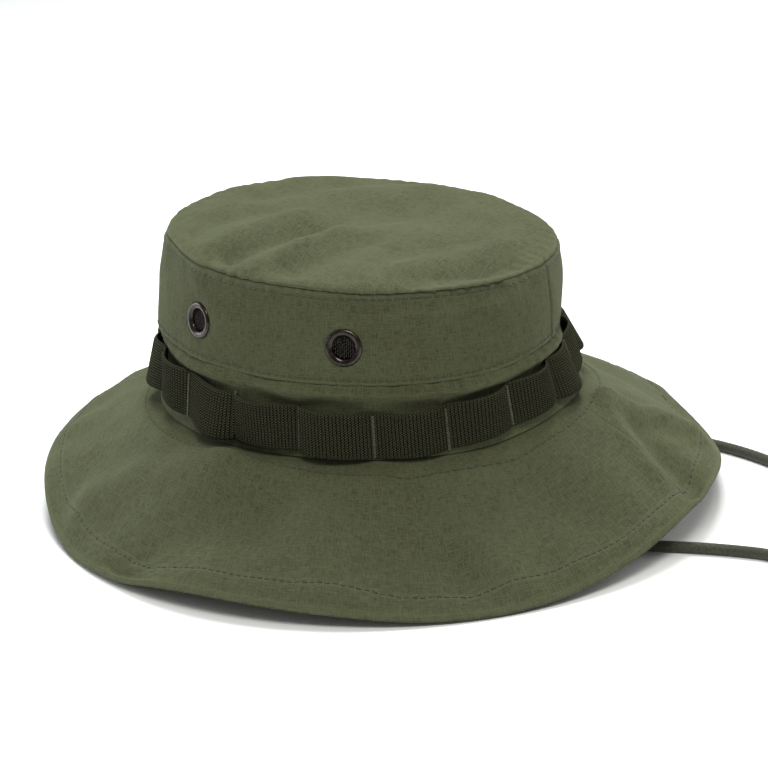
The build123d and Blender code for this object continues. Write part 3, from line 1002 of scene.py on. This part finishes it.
def vent_cells(outer):
    """The cells of a wall's grid that a vent's flange covers the edge of."""
    centres = (outer[1:, 1:] + outer[:-1, 1:] + outer[1:, :-1] + outer[:-1, :-1]) / 4
    gone = np.zeros(centres.shape[:2], bool)
    for place, normal, _, _ in vent_frames():
        away = centres - place
        depth = away @ normal
        radial = np.linalg.norm(away - depth[..., None] * normal, axis=-1)
        gone |= (radial < EYELET_BORE + 0.9 * MM) & (np.abs(depth) < 6 * MM)
    return gone


# Sections of the round pieces: radius, height along the vent's axis, and how rubbed the metal is there.
BARREL = EYELET_BORE + 0.5 * MM
EYELET_SECTION = (
    (BARREL, -2.4 * MM, 0.0), (BARREL, -0.1 * MM, 0.0),
    (EYELET_RADIUS - 0.5 * MM, -0.1 * MM, 0.0), (EYELET_RADIUS - 0.1 * MM, 0.05 * MM, 0.1),
    (EYELET_RADIUS, 0.35 * MM, 0.5), (EYELET_RADIUS - 0.25 * MM, 0.75 * MM, 0.8),
    (EYELET_RADIUS - 0.8 * MM, 1.05 * MM, 0.6), (EYELET_RADIUS - 1.5 * MM, 1.15 * MM, 0.3),
    (EYELET_BORE + 0.9 * MM, 0.85 * MM, 0.2), (EYELET_BORE + 0.35 * MM, 0.55 * MM, 0.4),
    (EYELET_BORE, 0.1 * MM, 0.0), (EYELET_BORE, -2.4 * MM, 0.0),
)
WASHER_SECTION = (
    (BARREL + 0.1 * MM, -1.5 * MM, 0.0), (7.4 * MM, -1.5 * MM, 0.0), (8.0 * MM, -1.8 * MM, 0.0),
    (7.6 * MM, -2.1 * MM, 0.0), (BARREL + 0.6 * MM, -2.3 * MM, 0.0), (BARREL + 0.1 * MM, -2.1 * MM, 0.0),
)
VENT_SIDES = 48

# The screens' wire.
WIRE_PITCH = 0.95 * MM
WIRE_RADIUS = 0.24 * MM
WIRE_DEPTH = 0.8 * MM
WIRES_EACH_SIDE = 4


def lathed(name, section, nodes):
    """One piece for all vents: a section turned round each vent's axis."""
    angles = round_angles(VENT_SIDES)[:, None]
    loop = quads(len(section) + 1, VENT_SIDES, wrap=True) % (len(section) * VENT_SIDES)
    points, faces = [], []
    for index, (place, normal, side, other) in enumerate(vent_frames()):
        around = np.cos(angles) * side + np.sin(angles) * other
        points += [place + normal * height + around * radius for radius, height, _ in section]
        faces.append(loop + index * len(section) * VENT_SIDES)
    wear = np.repeat([rubbed for _, _, rubbed in section], VENT_SIDES)
    piece = mesh_object(name, np.concatenate(points), np.concatenate(faces), wear=np.tile(wear, len(faces)))
    finish_piece(piece, BRONZE, nodes)


def screen_wires():
    """Woven wire across each bore: two sets of wires that pass over and under."""
    reach = EYELET_BORE - 0.1 * MM
    angles = round_angles(THREAD_SIDES)[:, None]
    points, faces = [], []
    for place, normal, side, other in vent_frames():
        for along, across, phase in ((side, other, 0.0), (other, side, math.pi)):
            circle = np.cos(angles) * normal + np.sin(angles) * across
            for index in range(-WIRES_EACH_SIDE, WIRES_EACH_SIDE + 1):
                shift = index * WIRE_PITCH
                half = math.sqrt(reach ** 2 - shift ** 2)
                travel = np.linspace(-half, half, 41)
                weave = WIRE_RADIUS * np.cos(math.pi * (travel / WIRE_PITCH + index) + phase)
                line = (place + along * travel[:, None] + across * shift
                        + normal * (weave - WIRE_DEPTH)[:, None])
                faces += tube_faces(len(travel), THREAD_SIDES, sum(map(len, points)))
                points.append((line[:, None] + circle * WIRE_RADIUS).reshape(-1, 3))
    piece = mesh_object("vent_screen_wires", np.concatenate(points), faces)
    finish_piece(piece, BRONZE, ["vent_screens"])


def vents():
    lathed("vent_eyelet_rims", EYELET_SECTION, ["vent_eyelets"])
    lathed("vent_clench_washers", WASHER_SECTION, ["vent_washers"])
    screen_wires()


# ---------------------------------------------------------------- inside

def ring_strip(name, heights, outer, thickness, material, node,
               span=(0.0, 360.0), wobble=0.0, follows=False):
    """A strip of cloth parallel to the wall, inside the crown, which may follow the wall's own waves."""
    low, high = heights
    start, stop = span
    whole = stop - start >= 360.0
    count = max(24, int((stop - start) * 1.6))
    turn = np.radians(np.linspace(start, stop, count + 1)[: count if whole else count + 1])
    rows = np.linspace(low, high, 20)
    z, angle = np.meshgrid(rows, turn, indexing="ij")
    points = ring(wall_offset(z) + outer, z, angle)
    wobbling = wobble * softness(points, 30 * MM, 60)
    if follows:
        wobbling = wobbling + wall_relief(z, angle)
    points = points + outward(angle) * wobbling[..., None]
    wear = 0.5 * seam_wear(z - low, high - z)
    piece = shell(name, points, thickness, wrap=whole, uv=cloth_uv(rows, arc_length(turn)), wear=wear)
    finish_piece(piece, material, [node])


def inside():
    ring_strip("sweatband_cloth", SWEATBAND_Z, SWEATBAND_OUTER, SWEATBAND, LINING, "sweatband",
               wobble=0.12 * MM)
    ring_strip("top_binding_tape", BINDING_Z, -LAP_STEP, BINDING, TAPE_FIBRE, "top_seam_binding",
               wobble=0.02 * MM, follows=True)
    ring_strip("blank_tag", LABEL_Z, SWEATBAND_OUTER - SWEATBAND - 0.15 * MM, LABEL, TAG,
               "blank_label", (84.0, 96.0))
    for name, middle in (("back", 90.0), ("front", 270.0)):
        ring_strip(f"seam_tape_{name}", TAPE_Z, -LAP_STEP, BINDING, TAPE_FIBRE, "crown_seam_tapes",
                   (middle - 3.5, middle + 3.5), follows=True)


def cord_tabs():
    """Folded tape with a rounded edge, which holds the cord's end."""
    angles = round_angles(40)
    row, angle = np.meshgrid(np.linspace(-1, 1, 22), angles, indexing="ij")

    def squared(value):
        return np.sign(value) * np.abs(value) ** 0.35
    taper = 1 - 0.10 * np.abs(row) ** 4 - 0.06 * np.cos(6 * row)
    unit_tab = np.stack([squared(np.cos(angle)) * taper, squared(np.sin(angle)) * taper, row], -1)
    for side in ("left", "right"):
        low, high = (np.array(corner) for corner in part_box(f"cord_tab_{side}"))
        flat = ((low + high) / 2 + (high - low) / 2 * unit_tab).reshape(-1, 3)
        piece = mesh_object(f"cord_tab_{side}_tape", flat, tube_faces(len(row), len(angles)), uv=flat[:, 1:])
        finish_piece(piece, TAPE_FIBRE, [f"cord_tab_{side}"])


# ---------------------------------------------------------------- cord

def keeper_axes():
    axis = Vector(frame["joints"][0]["axis"]).normalized()
    return np.array(axis), np.array([-axis.y, axis.x, 0.0])


def cord_route():
    """The route's points in metres, from the left tab round the loop's end to the right tab.

    The points are written in millimetres. A height of 0 stands for lying on the floor, and raised
    is the height of the keeper's holes.
    """
    lay = CORD_RADIUS + 0.1 * MM
    raised = 5.3
    ahead, aside = keeper_axes()
    origin = np.array([-54.0, -238.0, 0.0])
    route = [
        (76.8, -4.0, 46.0), (76.8, -4.0, 29.5), (77.5, -12.0, 12.5), (80.0, -31.0, 0), (86.0, -61.0, 0),
        (93.5, -89.0, 0), (96.0, -117.0, 0), (91.0, -142.0, 0), (81.0, -166.0, 0), (68.0, -189.0, 0),
        (47.0, -209.0, 0), (20.0, -224.0, 0), (-13.0, -236.0, 0),
    ]
    # One more point on each strand, at 36, keeps it straight over the whole run of the keeper.
    ends = [
        (0, 11, raised), (36, 11, raised), (60, 11, raised), (85, 23.7, 0), (105, 25.4, 0), (119, 13.8, 0),
        (119, -2.8, 0), (105, -14.4, 0), (85, -12.7, 0), (60, 0, raised), (36, 0, raised), (0, 0, raised),
    ]
    for along, across, height in ends:
        x, y, _ = origin + ahead * along + aside * across
        route.append((x, y, height))
    route += [
        (-25.0, -223.0, 0), (-12.0, -203.0, 0), (-14.0, -177.0, 0), (-20.0, -149.0, 0), (-29.0, -121.0, 0),
        (-40.0, -93.0, 0), (-53.0, -63.0, 0), (-67.0, -34.0, 0), (-75.0, -14.0, 12.5), (-76.8, -4.0, 29.5),
        (-76.8, -4.0, 46.0),
    ]
    return [(x * MM, y * MM, z * MM if z else lay) for x, y, z in route]


def cord_spline(route):
    curve = bpy.data.curves.new("cord_line", "CURVE")
    curve.dimensions = "3D"
    curve.resolution_u = 24
    spline = curve.splines.new("NURBS")
    spline.points.add(len(route) - 1)
    for point, place in zip(spline.points, route):
        point.co = (*place, 1.0)
    spline.order_u = 3
    spline.use_endpoint_u = True
    line = linked("cord_line", curve)
    bpy.context.view_layer.update()
    mesh = bpy.data.meshes.new_from_object(line)
    points = np.array([vertex.co for vertex in mesh.vertices])
    bpy.data.objects.remove(line)
    bpy.data.meshes.remove(mesh)
    return points


def resampled(points, step):
    lengths = np.concatenate([[0.0], np.cumsum(np.linalg.norm(np.diff(points, axis=0), axis=-1))])
    places = np.linspace(0, lengths[-1], int(lengths[-1] / step))
    return np.stack([np.interp(places, lengths, points[:, axis]) for axis in range(3)], -1), places


def cord_sides(along):
    """A direction across the cord at each point, turning as little as it can."""
    side = np.cross(along, [0.0, 0.0, 1.0])
    side[np.linalg.norm(side, axis=-1) < 0.05] = [1.0, 0.0, 0.0]
    for index in range(1, len(side)):
        if side[index] @ side[index - 1] < 0:
            side[index] *= -1
    for _ in range(60):
        side[1:-1] = (side[:-2] + side[1:-1] + side[2:]) / 3
    return unit(side - along * (side * along).sum(-1, keepdims=True))


def chin_cord():
    """Braided cord: strands that cross each other both ways round a soft core."""
    line, places = resampled(cord_spline(cord_route()), CORD_STEP)
    along = unit(np.gradient(line, axis=0))
    side = cord_sides(along)
    other = np.cross(along, side)
    place, angle = np.meshgrid(places, round_angles(CORD_SIDES), indexing="ij")
    twist = 2 * math.pi * place / BRAID_PITCH
    right = np.cos(BRAID_STRANDS * (angle + twist))
    left = np.cos(BRAID_STRANDS * (angle - twist))
    relief = 0.5 * np.maximum(right, left) + 0.5 * right * left
    radius = CORD_RADIUS * (1 - BRAID_RELIEF + BRAID_RELIEF * relief)
    points = (line[:, None] + radius[..., None]
              * (np.cos(angle)[..., None] * side[:, None] + np.sin(angle)[..., None] * other[:, None]))
    faces = tube_faces(len(line), CORD_SIDES)
    piece = mesh_object("chin_cord_braid", points.reshape(-1, 3), faces)
    finish_piece(piece, CORD_FIBRE, ["chin_cord"])


def keeper():
    frame["nodes"]["cord_keeper"].data.materials[0] = LEATHER


# ---------------------------------------------------------------- stage

FLOOR_HALF = 6.0
WORLD_LIGHT = 0.30
LAMP_TARGET_Z = 0.07


def area_light(name, place, target, size, power, colour):
    light = bpy.data.lights.new(name, "AREA")
    light.shape = "RECTANGLE"
    light.size, light.size_y = size
    light.energy = power
    light.color = colour
    lamp = linked(name, light)
    lamp.location = place
    lamp.rotation_euler = (target - place).to_track_quat("-Z", "Y").to_euler()


def stage():
    mesh = bpy.data.meshes.new("floor")
    corners = [(-1, -1), (1, -1), (1, 1), (-1, 1)]
    mesh.from_pydata([(x * FLOOR_HALF, y * FLOOR_HALF, 0.0) for x, y in corners], [], [(0, 1, 2, 3)])
    mesh.materials.append(floor_material())
    linked("floor", mesh)
    world = bpy.data.worlds.new("studio")
    world.use_nodes = True
    background = world.node_tree.nodes["Background"]
    background.inputs["Color"].default_value = rgb(1.0, 1.0, 1.0)
    background.inputs["Strength"].default_value = WORLD_LIGHT
    bpy.context.scene.world = world
    bpy.context.scene.view_settings.view_transform = "Standard"


# The view, in degrees and metres, and where it aims.
VIEW_AZIMUTH = -60.0
VIEW_HEIGHT = 21.0
VIEW_ROLL = 4.5
VIEW_DISTANCE = 1.2
VIEW_TARGET_Z = 0.045
VIEW_SHIFT = (0.0055, 0.0069)
LENS = 121.8
SENSOR = 36.0

# Each lamp's place from the hat, to the view's right, away from it and up, its size, power and colour.
LAMPS = {
    "left_box": ((-1.1, 0.45, 0.3), (0.6, 0.6), 4.2, (0.92, 1.0, 1.0)),
    "right_box": ((1.15, 0.35, 0.4), (0.6, 0.6), 4.2, (1.0, 1.0, 1.0)),
    "top_box": ((0.05, 0.5, 1.25), (0.7, 0.7), 21.0, (0.95, 1.0, 0.98)),
    "front_fill": ((0.1, -0.75, 1.25), (0.7, 0.5), 11.0, (1.0, 0.985, 0.95)),
}


def camera_and_lights():
    turn = math.radians(VIEW_AZIMUTH)
    right = Vector((math.cos(turn), math.sin(turn), 0.0))
    away = Vector((-math.sin(turn), math.cos(turn), 0.0))
    up = Vector((0.0, 0.0, 1.0))
    lean = math.radians(VIEW_HEIGHT)
    towards = -away * math.cos(lean) + up * math.sin(lean)
    upward = away * math.sin(lean) + up * math.cos(lean)
    target = up * VIEW_TARGET_Z + right * VIEW_SHIFT[0] + upward * VIEW_SHIFT[1]
    camera = bpy.data.cameras.new("camera")
    camera.lens = LENS
    camera.sensor_width = SENSOR
    eye = linked("camera", camera)
    eye.location = target + towards * VIEW_DISTANCE
    aim = (target - eye.location).to_track_quat("-Z", "Y").to_matrix()
    eye.rotation_euler = (aim @ Matrix.Rotation(math.radians(-VIEW_ROLL), 3, "Z")).to_euler()
    bpy.context.scene.camera = eye
    middle = up * LAMP_TARGET_Z
    for name, ((across, back, height), size, power, colour) in LAMPS.items():
        place = middle + right * across + away * back + up * height
        area_light(name, place, middle, size, power, colour)


stage()
camera_and_lights()
chin_cord()
keeper()
crown_top()
crown_walls()
crown_bands()
brim()
webbing()
tacks()
seam_stitches()
vents()
inside()
cord_tabs()
